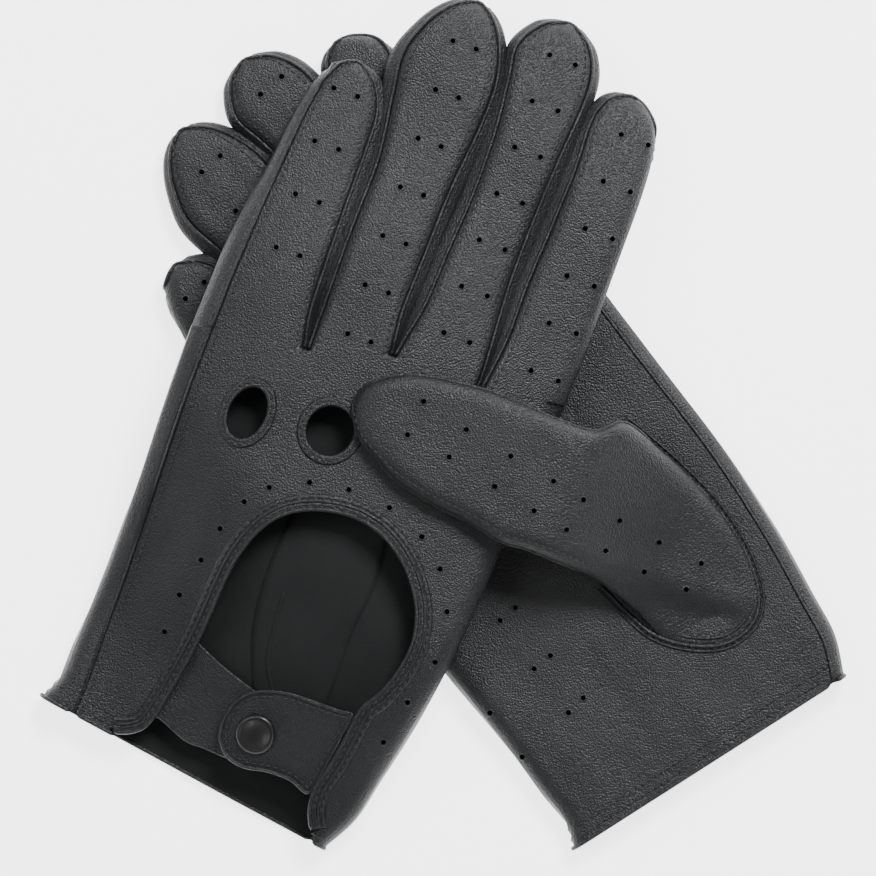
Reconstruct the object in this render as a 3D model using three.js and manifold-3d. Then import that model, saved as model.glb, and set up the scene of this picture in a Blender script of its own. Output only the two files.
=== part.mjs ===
// A pair of unlined leather driving gloves, lying crossed on a flat surface.
// The right glove lies palm up. The left glove lies back up across it, and the
// right thumb is folded over the left glove. Millimetres, +Z up.
import * as THREE from "three";
import { mergeVertices } from "three/addons/utils/BufferGeometryUtils.js";
import Module from "manifold-3d";

const wasm = await Module();
wasm.setup();

// Driving dimensions.
const THICKNESS = 8.5; // outer thickness of a glove lying flat
const LEATHER = 0.9; // thickness of the leather
const GAP = 0.3; // clearance between neighbouring pieces
const THUMB_THICKNESS = 6.4; // outer thickness of the right thumb
const FOLDED_THUMB = 4.4; // outer thickness of the left thumb under its palm
const THUMB_BED = 7.1; // height that the folded thumb lifts its glove
const THUMB_GAP = 2.0; // clearance between a thumb's tube and its palm
const FACING_GAP = 1.2; // clearance behind the back leather of its facings
const THUMB_RISE = 15.1; // climb of the right thumb over the left glove
const FALL = 60; // length over which the leather falls to the surface
const THUMB_FALL = 58; // length over which it falls beside the folded thumb
const FOURCHETTE = 3.4; // height of the wall strips between the fingers
const STRAP_DROP = 2.7; // how far the right strap sits inside its window
const FACING = 0.6; // thickness of the facings sewn behind an edge
const FINEST = 0.05; // edges shorter than this are closed up
const SNAP = new THREE.Vector2(13.4, 17.6); // centre of the snap
const CAP_RADIUS = 5.3;
const LEFT = { x: -69.5, y: -90.7, turn: THREE.MathUtils.degToRad(-25) };
const RIGHT = { x: 72.1, y: -88.0, turn: THREE.MathUtils.degToRad(36) };
const THUMB_PIVOT = new THREE.Vector2(33, 57);
const THUMB_WAY = new THREE.Vector2(-0.607, 0.794);

// Outline stations of a glove: left edge, right edge, share of the thickness.
const HAND = [
  [[-43.5, 2.6], [43.5, -2.6], 1],
  [[-41.3, 9.5], [47.9, 8.0], 1],
  [[-41.6, 20.0], [49.6, 21.0], 1],
  [[-41.9, 36.0], [52.2, 37.0], 1],
  [[-43.1, 54.7], [54.2, 54.0], 1],
  [[-44.8, 72.0], [53.6, 73.0], 1],
  [[-46.5, 88.8], [52.7, 92.0], 1],
  [[-48.2, 101.5], [52.3, 113.0], 1],
  [[-48.7, 105.8], [52.0, 122.8], 1],
  [[-49.2, 110.0], [51.6, 132.7], 1],
];
const FINGERS = {
  little: [
    [[-48.0, 105.2], [-19.7, 108.3], 0.97],
    [[-49.8, 125.0], [-20.0, 125.0], 1],
    [[-50.0, 140.0], [-21.8, 140.0], 1],
    [[-48.5, 157.0], [-23.6, 157.0], 1],
    [[-48.2, 172.0], [-24.9, 172.0], 0.96],
    [[-46.6, 183.0], [-26.3, 183.0], 0.9],
    [[-43.6, 190.0], [-30.8, 190.0], 0.66],
    [[-40.4, 192.6], [-35.6, 192.6], 0.28],
  ],
  ring: [
    [[-18.3, 109.1], [2.5, 111.4], 0.97],
    [[-18.7, 125.0], [3.2, 125.0], 1],
    [[-20.5, 139.0], [2.2, 139.0], 1],
    [[-21.9, 155.0], [1.2, 155.0], 1],
    [[-23.1, 172.0], [0.2, 172.0], 1],
    [[-26.6, 189.0], [0.3, 189.0], 0.97],
    [[-29.2, 200.0], [-0.4, 202.0], 0.92],
    [[-25.6, 213.5], [-4.4, 213.5], 0.78],
    [[-19.4, 220.2], [-10.4, 220.2], 0.34],
  ],
  middle: [
    [[4.6, 112.0], [27.4, 116.0], 0.97],
    [[4.6, 127.0], [28.0, 129.0], 1],
    [[4.9, 141.0], [27.0, 143.0], 1],
    [[4.3, 157.0], [25.1, 157.0], 1],
    [[3.9, 174.0], [23.8, 174.0], 1],
    [[2.2, 192.0], [23.1, 192.0], 0.97],
    [[0.2, 206.0], [22.8, 208.0], 0.92],
    [[-0.4, 219.5], [20.0, 219.5], 0.75],
    [[6.0, 226.2], [13.2, 226.2], 0.34],
  ],
  index: [
    [[29.4, 116.0], [51.2, 120.0], 0.97],
    [[29.3, 129.0], [51.4, 134.0], 1],
    [[28.6, 142.0], [51.0, 147.0], 1],
    [[27.3, 157.0], [49.9, 159.0], 1],
    [[26.7, 175.0], [48.4, 175.0], 0.98],
    [[25.8, 192.0], [46.8, 192.0], 0.94],
    [[24.9, 205.0], [44.5, 206.0], 0.86],
    [[27.4, 213.4], [40.2, 212.6], 0.56],
    [[31.6, 215.6], [36.4, 215.4], 0.26],
  ],
};
const THUMB = [
  [[14.8, 43.1], [40.5, 62.5], 0.9],
  [[9.0, 50.8], [38.3, 74.0], 1],
  [[3.5, 59.5], [35.0, 84.5], 1],
  [[-1.0, 67.5], [26.9, 90.4], 1],
  [[-8.0, 77.9], [20.2, 100.0], 1],
  [[-13.7, 89.5], [12.5, 113.0], 1],
  [[-19.7, 100.8], [6.0, 121.3], 0.97],
  [[-23.4, 111.0], [-1.0, 128.5], 0.92],
  [[-24.7, 121.0], [-7.0, 133.2], 0.8],
  [[-23.4, 130.0], [-13.2, 135.8], 0.54],
  [[-20.5, 134.2], [-17.2, 135.6], 0.26],
];
// Whole outline of a glove without the gaps between its fingers.
const MITTEN = [
  [-43.5, 2.6], [-41.6, 20], [-43.1, 55], [-46.5, 89], [-50, 120], [-50, 150],
  [-47.5, 180], [-42, 192], [-36, 193], [-29, 203], [-22, 218], [-12, 221],
  [4, 227], [14, 227], [22, 218], [33, 216], [43, 210], [47, 190], [50, 155],
  [52, 120], [53.6, 73], [52, 37], [49, 15], [43.5, -2.6],
];
// Wrist window with the neck that runs out at the hem.
const WINDOW = [
  [-22, -15], [-20.6, 3.2], [-15.9, 4.8], [-13.1, 7.6], [-11.4, 21.8],
  [-10.6, 36], [-11.1, 53.2], [-10.2, 64.1], [-6.7, 72.5], [-0.2, 77.7],
  [8.6, 81.2], [17.4, 81.4], [26.4, 78.2], [33.5, 72.5], [38.9, 66.1],
  [40.8, 58.1], [40.6, 49.6], [38.5, 42.0], [35.6, 36.2], [35.3, 27.2],
  [34.5, 19.4], [33.4, 11.2], [34.2, 5.8], [37.5, 1.4], [40, -15],
];
const KNUCKLES = [
  { name: "little", x: -24.9, y: 95.0, rx: 4.8, ry: 7.1 },
  { name: "ring", x: -2.8, y: 100.0, rx: 6.2, ry: 6.6 },
  { name: "middle", x: 18.0, y: 105.6, rx: 6.0, ry: 6.2 },
  { name: "index", x: 38.6, y: 105.0, rx: 5.0, ry: 6.2 },
];
// Set-in seam of the thumb on the palm.
const THUMB_SEAM = [
  [35.2, 88.2], [37.7, 78.7], [40, 68.1], [41.7, 56.8], [41.7, 45.2],
  [39.8, 34.8], [36.4, 27.3], [30.6, 23.1], [22.3, 23.2], [14.4, 28.3],
  [8.3, 36], [6, 44.3], [4.2, 55.7],
];
// Seam where the palm leather, turned round the little side, meets the back.
const GROOVE = [
  [-33, -12], [-33.7, 8.4], [-34.4, 20], [-35.1, 37.6], [-37, 57.5], [-40, 80],
  [-42.4, 101.2], [-44.2, 124.2], [-44.9, 146.2], [-45.2, 172.5], [-44, 196],
];
// Seam where the back leather, turned round the index side, meets the palm.
const CREASE = [
  [39, -12], [43.6, 8], [45.4, 21], [48, 37], [49.4, 58], [48.3, 76],
  [46.9, 92], [45.9, 118], [46.2, 140], [45.2, 160], [43.4, 180], [41.6, 198],
  [40.6, 220],
];
const STRAP_UNDER = [
  [-16.5, 34.5], [-9.7, 33], [-2.1, 30.6], [7.9, 28.4], [18, 27.4],
  [22.4, 24], [23, 18], [22, 13], [17, 9.6], [9, 8.2], [2.5, 8],
  [-3.3, 7.7], [-11.9, 10.2], [-17.5, 11.4],
];
const STRAP_OVER = [
  [34.7, 33.4], [25.2, 32.9], [16.7, 31.9], [10.4, 29.6], [5.1, 24.7],
  [3.6, 18.4], [5.3, 11.7], [9.2, 8.4], [14.5, 7.9], [20.7, 10.5],
  [30, 9.8], [32.7, 9.4], [33.9, 19.4], [34.7, 27.2],
];

const leather = () =>
  new THREE.MeshStandardMaterial({ color: 0x34363a, roughness: 0.55, metalness: 0 });
const suede = () =>
  new THREE.MeshStandardMaterial({ color: 0x1d1e20, roughness: 0.95, metalness: 0 });
const lacquer = () =>
  new THREE.MeshStandardMaterial({ color: 0x141415, roughness: 0.3, metalness: 0.6 });
const steel = () =>
  new THREE.MeshStandardMaterial({ color: 0x77787a, roughness: 0.35, metalness: 1 });

// A three.js geometry as a solid that can be cut and joined.
function solid(geometry) {
  const g = geometry.index ? geometry.toNonIndexed() : geometry.clone();
  g.deleteAttribute("normal");
  g.deleteAttribute("uv");
  const merged = mergeVertices(g, 1e-3);
  const make = (triVerts) =>
    new wasm.Manifold(
      new wasm.Mesh({
        numProp: 3,
        vertProperties: new Float32Array(merged.attributes.position.array),
        triVerts,
      }),
    );
  const faces = new Uint32Array(merged.index.array);
  const body = make(faces);
  if (body.volume() >= 0) return body;
  for (let i = 0; i < faces.length; i += 3) {
    const swap = faces[i + 1];
    faces[i + 1] = faces[i + 2];
    faces[i + 2] = swap;
  }
  return make(faces);
}

function geometryOf(body) {
  const mesh = body.getMesh();
  const g = new THREE.BufferGeometry();
  g.setAttribute("position", new THREE.BufferAttribute(mesh.vertProperties, 3));
  g.setIndex(new THREE.BufferAttribute(mesh.triVerts, 1));
  g.computeVertexNormals();
  return g;
}

// The largest body of a cut, without slivers too fine for 32-bit numbers.
const main = (body) =>
  solid(geometryOf(body.simplify(FINEST)))
    .simplify(FINEST)
    .decompose()
    .sort((a, b) => b.volume() - a.volume())[0];

const smooth = (from, to, value) => THREE.MathUtils.smoothstep(value, from, to);
const join = (bodies) => bodies.reduce((a, b) => a.add(b));
const flat = () => 0;

// How far a point lies outside a closed outline; 0 inside it.
function distanceOutside(outline, x, y) {
  let inside = false;
  let best = Infinity;
  outline.forEach(([ax, ay], i) => {
    const [bx, by] = outline[(i + 1) % outline.length];
    if (ay > y !== by > y && x < ((bx - ax) * (y - ay)) / (by - ay) + ax) inside = !inside;
    const along = ((x - ax) * (bx - ax) + (y - ay) * (by - ay)) /
      ((bx - ax) ** 2 + (by - ay) ** 2);
    const t = THREE.MathUtils.clamp(along, 0, 1);
    best = Math.min(best, Math.hypot(x - ax - t * (bx - ax), y - ay - t * (by - ay)));
  });
  return inside ? 0 : best;
}

const THUMB_OUTLINE = [
  ...THUMB.map(([left]) => left),
  ...THUMB.map(([, right]) => right).reverse(),
];

// Height of the left glove above the surface: it lies on the right glove and on
// its own folded thumb, and its leather falls to the surface beside them.
function drape(x, y) {
  const c = Math.cos(LEFT.turn);
  const s = Math.sin(LEFT.turn);
  const wx = x * c - y * s + LEFT.x - RIGHT.x;
  const wy = x * s + y * c + LEFT.y - RIGHT.y;
  const rc = Math.cos(RIGHT.turn);
  const rs = Math.sin(RIGHT.turn);
  const onGlove = distanceOutside(MITTEN, wx * rc + wy * rs, wy * rc - wx * rs);
  const onThumb = distanceOutside(THUMB_OUTLINE, x, y);
  return (
    (THICKNESS + 0.5) * (1 - smooth(1.5, FALL, onGlove)) +
    THUMB_BED * (1 - smooth(1, THUMB_FALL, onThumb))
  );
}

// One ring of a flat tube: rounded sides, and `across` more points on each face.
function ring([left, right, share], low, high, inset, across, sink) {
  const a = new THREE.Vector2(...left);
  const b = new THREE.Vector2(...right);
  const dir = b.clone().sub(a).normalize();
  const mid = (low + high) / 2;
  const half = ((high - low) / 2) * share - inset;
  const width = a.distanceTo(b) - 2 * inset;
  const r = Math.min(half * 1.15, width / 2.2);
  const points = [];
  const put = (u, z) => {
    const x = a.x + dir.x * (inset + u);
    const y = a.y + dir.y * (inset + u);
    points.push(new THREE.Vector3(x, y, z + sink(x, y)));
  };
  const steps = 3;
  for (let i = 0; i <= steps; i++) {
    const q = -Math.PI / 2 + (Math.PI * i) / steps;
    put(width - r + r * Math.cos(q), mid + half * Math.sin(q));
  }
  for (let i = 1; i <= across; i++)
    put(width - r - ((width - 2 * r) * i) / (across + 1), mid + half);
  for (let i = 0; i <= steps; i++) {
    const q = Math.PI / 2 + (Math.PI * i) / steps;
    put(r + r * Math.cos(q), mid + half * Math.sin(q));
  }
  for (let i = 1; i <= across; i++)
    put(r + ((width - 2 * r) * i) / (across + 1), mid - half);
  return points;
}

// A closed solid through a row of rings.
function loft(rings) {
  const n = rings[0].length;
  const points = rings.flat();
  const index = [];
  for (let r = 0; r + 1 < rings.length; r++)
    for (let i = 0; i < n; i++) {
      const a = r * n + i;
      const b = r * n + ((i + 1) % n);
      index.push(a, b, b + n, a, b + n, a + n);
    }
  const cap = (first, turned) => {
    const centre = new THREE.Vector3();
    for (let i = 0; i < n; i++) centre.addScaledVector(points[first + i], 1 / n);
    points.push(centre);
    const c = points.length - 1;
    for (let i = 0; i < n; i++) {
      const a = first + i;
      const b = first + ((i + 1) % n);
      if (turned) index.push(c, b, a);
      else index.push(c, a, b);
    }
  };
  cap(0, true);
  cap((rings.length - 1) * n, false);
  const g = new THREE.BufferGeometry().setFromPoints(points);
  g.setIndex(index);
  return solid(g);
}

// A straight cutter over a plan outline, through all heights.
function prism(outline) {
  const shape = new THREE.Shape(outline.map(([x, y]) => new THREE.Vector2(x, y)));
  const g = new THREE.ExtrudeGeometry(shape, { depth: 160, bevelEnabled: false });
  g.translate(0, 0, -80);
  return solid(g);
}

// A slab between two heights that follows the drape.
function slab(low, high, sink, box = [-62, -20, 62, 236], cell = 18) {
  const [x0, y0, x1, y1] = box;
  const nx = Math.max(1, Math.round((x1 - x0) / cell));
  const ny = Math.max(1, Math.round((y1 - y0) / cell));
  const points = [];
  for (const z of [low, high])
    for (let j = 0; j <= ny; j++)
      for (let i = 0; i <= nx; i++) {
        const x = x0 + ((x1 - x0) * i) / nx;
        const y = y0 + ((y1 - y0) * j) / ny;
        points.push(new THREE.Vector3(x, y, z + sink(x, y)));
      }
  const row = nx + 1;
  const layer = row * (ny + 1);
  const index = [];
  for (let j = 0; j < ny; j++)
    for (let i = 0; i < nx; i++) {
      const a = j * row + i;
      index.push(a, a + row + 1, a + 1, a, a + row, a + row + 1);
      index.push(a + layer, a + layer + 1, a + layer + row + 1);
      index.push(a + layer, a + layer + row + 1, a + layer + row);
    }
  const wall = (a, b) => index.push(a, b, b + layer, a, b + layer, a + layer);
  for (let i = 0; i < nx; i++) {
    wall(i, i + 1);
    wall(ny * row + i + 1, ny * row + i);
  }
  for (let j = 0; j < ny; j++) {
    wall(j * row + nx, (j + 1) * row + nx);
    wall((j + 1) * row, j * row);
  }
  const g = new THREE.BufferGeometry().setFromPoints(points);
  g.setIndex(index);
  return solid(g);
}

// An outline moved outwards from its middle by a distance along each normal.
function grown(outline, by) {
  const area = THREE.ShapeUtils.area(outline.map(([x, y]) => new THREE.Vector2(x, y)));
  const side = Math.sign(area);
  return outline.map(([x, y], i) => {
    const [px, py] = outline[(i + outline.length - 1) % outline.length];
    const [nx, ny] = outline[(i + 1) % outline.length];
    const length = Math.hypot(nx - px, ny - py);
    return [x + (side * by * (ny - py)) / length, y - (side * by * (nx - px)) / length];
  });
}

const ellipse = ({ x, y, rx, ry }, more = 0, count = 14) =>
  Array.from({ length: count }, (_, i) => {
    const q = (2 * Math.PI * i) / count;
    return [x + (rx + more) * Math.cos(q), y + (ry + more) * Math.sin(q)];
  });

// Everything of the hand side of one border line, away from the glove's middle.
const beside = (line, shift, far) =>
  prism([...line.map(([x, y]) => [x + shift, y]), [far, line.at(-1)[1]], [far, line[0][1]]]);

const along = (x, y) =>
  (x - THUMB_PIVOT.x) * THUMB_WAY.x + (y - THUMB_PIVOT.y) * THUMB_WAY.y;

// The part of the plan on the wrist side of the thumb's fold line.
function thumbSide(from, to) {
  const across = new THREE.Vector2(THUMB_WAY.y, -THUMB_WAY.x);
  const corner = (s, w) => [
    THUMB_PIVOT.x + THUMB_WAY.x * s + across.x * w,
    THUMB_PIVOT.y + THUMB_WAY.y * s + across.y * w,
  ];
  return prism([corner(from, -90), corner(from, 90), corner(to, 90), corner(to, -90)]);
}

// The flat tubes of one glove, hand and fingers, drawn in by `inset`.
function envelope(inset, sink) {
  const hem = HAND[0];
  const open = inset > 0
    ? [[[hem[0][0] - 1, hem[0][1] - 12], [hem[1][0] - 4, hem[1][1] - 12], 1], ...HAND]
    : HAND;
  const end = open.at(-1);
  const rows = inset > 0
    ? [...open.slice(0, -1), [[end[0][0], end[0][1] - inset], [end[1][0], end[1][1] - inset], 1]]
    : open;
  const hand = loft(rows.map((row) => ring(row, 0, THICKNESS, inset, 8, sink)));
  const fingers = Object.values(FINGERS).map((rowsOf) => {
    const last = rowsOf.at(-1);
    const drawn = inset > 0
      ? [...rowsOf.slice(0, -1), [
        [last[0][0], last[0][1] - inset],
        [last[1][0], last[1][1] - inset],
        last[2] + 0.3,
      ]]
      : rowsOf;
    return loft(drawn.map((row) => ring(row, 0, THICKNESS, inset, 1, sink)));
  });
  return join([hand, ...fingers]);
}

function thumbTube(thick, rise, sink) {
  const gap = (x, y) => -THUMB_GAP - rise * smooth(-3, 37, along(x, y)) + sink(x, y);
  const outer = loft(THUMB.map((row) => ring(row, -thick, 0, 0, 1, gap)));
  const mouth = [[17.2, 40.0], [42.0, 59.4], 0.9];
  const inner = loft(
    [mouth, ...THUMB.slice(0, -1)].map((row, i) => {
      const open = i < 3 ? 6 : 0;
      return ring(row, -thick + (open ? 0.3 : 0), open, LEATHER, 1, gap);
    }),
  );
  return outer.subtract(inner);
}

const round = (profile, x, y, sink) => {
  const g = new THREE.LatheGeometry(
    profile.map(([r, z]) => new THREE.Vector2(r, z)),
    16,
  );
  g.rotateX(Math.PI / 2);
  g.translate(x, y, 0);
  const p = g.attributes.position;
  for (let i = 0; i < p.count; i++)
    p.setZ(i, p.getZ(i) + sink(p.getX(i), p.getY(i)));
  return g;
};

// All pieces of one glove in its own frame: x to the thumb side, y to the
// fingertips, palm at z = 0 and back at z = THICKNESS.
function glove(side, sink, thumbThick, rise, drop) {
  const group = new THREE.Group();
  const add = (name, body, material) => {
    const piece = new THREE.Mesh(
      body.isBufferGeometry ? body : geometryOf(body),
      material,
    );
    piece.name = `${side}_${name}`;
    group.add(piece);
  };
  const middle = THICKNESS / 2;
  const shell = envelope(0, sink).subtract(envelope(LEATHER, sink));
  const upper = slab(middle + GAP / 2, THICKNESS + 4, sink);
  const lower = slab(-4, middle - GAP / 2, sink);
  const windowCut = prism(WINDOW);
  const holes = join(KNUCKLES.map((hole) => prism(ellipse(hole))));

  const ends = {
    little_ring: [[-34, 180], [-17.8, 108], [-14, 207]],
    ring_middle: [[-9, 208], [3.9, 113], [10, 214]],
    middle_index: [[16, 213], [28.6, 117], [33, 204]],
  };
  const zones = Object.entries(ends).map(([name, [left, foot, right]]) => ({
    name,
    outline: [
      [foot[0] - 5.5, foot[1]], [foot[0] + 5.5, foot[1]],
      [foot[0] + 9, 140], [right[0] - 2, right[1] - 22], right,
      [(left[0] + right[0]) / 2, Math.max(left[1], right[1])],
      left, [left[0] + 1, left[1] - 22], [foot[0] - 9, 140],
    ],
  }));
  const band = slab(middle - FOURCHETTE / 2, middle + FOURCHETTE / 2, sink);
  const bandRoom = slab(
    middle - FOURCHETTE / 2 - GAP,
    middle + FOURCHETTE / 2 + GAP,
    sink,
  );
  const rooms = join(zones.map(({ outline }) => prism(grown(outline, GAP))));
  const room = bandRoom.intersect(rooms);

  const palm = shell.intersect(lower).subtract(beside(CREASE, -GAP / 2, 70))
    .add(shell.intersect(beside(GROOVE, -GAP / 2, -70)))
    .subtract(room).subtract(prism(grown(THUMB_SEAM, GAP / 2)));
  const back = shell.intersect(upper).subtract(beside(GROOVE, GAP / 2, -70))
    .add(shell.intersect(beside(CREASE, GAP / 2, 70)))
    .subtract(room).subtract(windowCut).subtract(holes);
  add("palm", main(palm), leather());
  add("back", main(back), leather());
  zones.forEach(({ name, outline }) =>
    add(`fourchette_${name}`, main(shell.intersect(band).intersect(prism(outline))), leather()),
  );

  const base = slab(0, LEATHER, sink, [0, 15, 50, 95], 10)
    .intersect(prism(grown(THUMB_SEAM, -GAP / 2)))
    .intersect(thumbSide(-60, -GAP));
  add("thumb_base", base, leather());
  add("thumb", thumbTube(thumbThick, rise, sink), leather());

  const top = THICKNESS - LEATHER - (drop ? GAP : FACING_GAP);
  const facing = slab(top - FACING, top, sink, [-28, -2, 50, 92], 12)
    .intersect(prism(grown(WINDOW, 4))).subtract(windowCut)
    .subtract(prism([[-30, 34.9], [50, 34.9], [50, -20], [-30, -20]]));
  add("window_facing", main(facing), suede());
  KNUCKLES.forEach((hole) => {
    const box = [hole.x - 12, hole.y - 12, hole.x + 12, hole.y + 12];
    const body = slab(top - FACING, top, sink, box, 12)
      .intersect(prism(ellipse(hole, 2.6))).subtract(prism(ellipse(hole)));
    add(`knuckle_facing_${hole.name}`, body, suede());
  });

  const level = (z) => z - drop;
  const slopeX = (sink(SNAP.x + 4, SNAP.y) - sink(SNAP.x - 4, SNAP.y)) / 8;
  const slopeY = (sink(SNAP.x, SNAP.y + 4) - sink(SNAP.x, SNAP.y - 4)) / 8;
  const plane = (x, y) =>
    sink(SNAP.x, SNAP.y) + slopeX * (x - SNAP.x) + slopeY * (y - SNAP.y);
  const strapBox = [-20, 2, 38, 38];
  const under = slab(level(4.8), level(5.6), sink, strapBox, 8)
    .intersect(prism(STRAP_UNDER));
  const over = slab(level(8.1), level(8.9), sink, strapBox, 8)
    .intersect(prism(STRAP_OVER));
  add("strap_underlap", main(under), leather());
  add("strap_overlap", main(over), leather());
  const disc = (points) =>
    round(points.map(([r, z]) => [r, level(z)]), SNAP.x, SNAP.y, plane);
  add("snap_cap", solid(disc([
    [0, 9.3], [5.0, 9.3], [CAP_RADIUS, 9.7], [5.1, 10.2], [4.4, 10.8], [3.0, 11.1], [0, 11.2],
  ])), lacquer());
  add("snap_socket", solid(disc([
    [2.3, 7.0], [4.2, 7.0], [4.2, 7.6], [2.3, 7.6], [2.3, 7.0],
  ])), steel());
  add("snap_stud", solid(disc([
    [0, 6.1], [4.2, 6.1], [4.2, 6.6], [1.5, 6.6], [1.8, 7.2], [1.6, 7.6], [0, 7.6],
  ])), steel());
  add("snap_post", solid(disc([
    [0, 3.9], [3.6, 3.9], [4.2, 4.1], [4.2, 4.4], [0, 4.4],
  ])), steel());
  return group;
}

const left = glove("left", drape, FOLDED_THUMB, 0, 0);
left.position.set(LEFT.x, LEFT.y, 0);
left.rotation.z = LEFT.turn;

const right = glove("right", flat, THUMB_THICKNESS, THUMB_RISE, STRAP_DROP);
right.position.set(RIGHT.x, RIGHT.y, THICKNESS);
right.rotation.z = RIGHT.turn;
right.scale.z = -1;

const pair = new THREE.Group();
pair.add(left, right);

// The frame's origin is the middle of the pair's footprint, on the surface.
pair.updateMatrixWorld(true);
const bounds = new THREE.Box3().setFromObject(pair, true);
pair.position.set(
  -(bounds.min.x + bounds.max.x) / 2,
  -(bounds.min.y + bounds.max.y) / 2,
  -bounds.min.z,
);

export default pair;
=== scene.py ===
"""A pair of perforated leather driving gloves, lying crossed on a pale floor."""
import bisect
import logging
import math
from dataclasses import dataclass, field
from enum import Enum
from typing import Callable, Iterable, Sequence

import bmesh
import bpy
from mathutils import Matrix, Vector, noise
from mathutils.bvhtree import BVHTree


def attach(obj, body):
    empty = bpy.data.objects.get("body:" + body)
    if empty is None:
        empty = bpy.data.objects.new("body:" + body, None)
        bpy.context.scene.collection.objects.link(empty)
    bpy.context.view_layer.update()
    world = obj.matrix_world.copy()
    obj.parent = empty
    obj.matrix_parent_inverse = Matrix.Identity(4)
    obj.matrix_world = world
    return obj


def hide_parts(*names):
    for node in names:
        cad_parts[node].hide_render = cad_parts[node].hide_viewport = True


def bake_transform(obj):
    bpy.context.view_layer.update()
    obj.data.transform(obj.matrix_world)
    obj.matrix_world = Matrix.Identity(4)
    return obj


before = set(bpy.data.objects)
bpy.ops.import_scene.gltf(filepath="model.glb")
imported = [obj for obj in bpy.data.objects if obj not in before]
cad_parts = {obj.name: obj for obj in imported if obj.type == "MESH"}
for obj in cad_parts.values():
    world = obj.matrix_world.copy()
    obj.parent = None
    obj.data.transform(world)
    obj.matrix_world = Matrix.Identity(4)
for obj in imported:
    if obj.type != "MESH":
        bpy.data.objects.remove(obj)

log = logging.getLogger("gloves")
Pt = tuple[float, float]
Station = tuple[Pt, Pt, float]

MM = 0.001  # metres in one of the millimetres used below
THICKNESS = 8.5  # an empty glove lying flat
LEATHER = 0.9  # one layer
SHIFT = (-0.5095, -2.9225)  # puts the pair's box in the middle of the frame
COLUMNS = 22  # faces across a finger
CREASE = 4.0  # how far the back turns round the thumb side
SEAM = 1.1  # from a finger's edge in to its seam
WALL = 2.3  # fullness of the strips between the fingers
SNAP = (13.4, 17.6)  # centre of the press snap
PIVOT = (33.0, 57.0)  # middle of the thumb's fold line
WAY = (-0.607, 0.794)  # direction in which the thumb points
THUMB_GAP = 2.0  # from the palm to the thumb's root
THUMB_RISE = 15.1  # climb of the folded thumb over the other glove
THUMB_BED = 7.1  # room for the thumb that is folded under its glove
FALL, THUMB_FALL = 60.0, 58.0  # lengths over which the draped glove comes down
DROP = 2.7  # how deep the lower glove's strap is set
FLOOR_GAP = 0.02  # lowest point above the floor
FOLDED_THUMB = 4.4  # thickness of the thumb that is folded under its glove
RAISED_THUMB = 6.4  # thickness of the thumb that lies on top
FINGER_ROWS = 68  # rows of a finger strip that the forked strips follow
TIP_START = 58  # first row of a finger strip that belongs to its tip
HOLE_RADIUS = 0.68  # punched holes
STITCH_PITCH = 2.0  # one stitch and its gap
# sections across rims, plates and snap rings: share or radius, then height
RIM_SECTION = [
    (0.0, -0.9), (0.0, -0.2), (0.06, 0.55), (0.2, 0.95), (0.42, 0.82), (0.55, 0.62), (0.68, 0.85),
    (0.86, 0.8), (0.97, 0.35), (1.0, -0.3)]
PLATE_SECTION = [
    (0.0, 0.0), (0.93, 0.0), (0.985, 0.12), (1.0, 0.5), (0.985, 0.9), (0.95, 1.04), (0.90, 0.93),
    (0.86, 0.98), (0.6, 1.05), (0.3, 1.06), (0.0, 1.06)]
TONGUE_SECTION = [
    (-0.03, 0.0), (0.0, 0.75), (0.03, 1.05), (0.08, 0.95), (0.5, 1.1), (0.9, 0.95), (0.96, 1.1),
    (1.0, 0.8), (1.03, 0.0)]
CAP_SECTION = [
    (0, 9.0), (5.0, 9.0), (5.3, 9.25), (5.35, 9.6), (5.1, 10.0), (4.7, 10.25), (4.35, 10.3),
    (4.2, 10.2), (3.9, 10.25), (3.0, 10.6), (1.6, 10.85), (0, 10.95)]
SOCKET_SECTION = [(2.3, 7.0), (4.2, 7.0), (4.3, 7.3), (4.2, 7.6), (2.3, 7.6), (2.2, 7.3), (2.3, 7.0)]
STUD_SECTION = [
    (0, 6.1), (4.2, 6.1), (4.2, 6.5), (1.7, 6.6), (1.5, 6.8), (1.85, 7.2), (1.6, 7.6), (0, 7.7)]
POST_SECTION = [(0, 3.9), (3.6, 3.9), (4.2, 4.1), (4.2, 4.4), (0, 4.4)]

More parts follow.
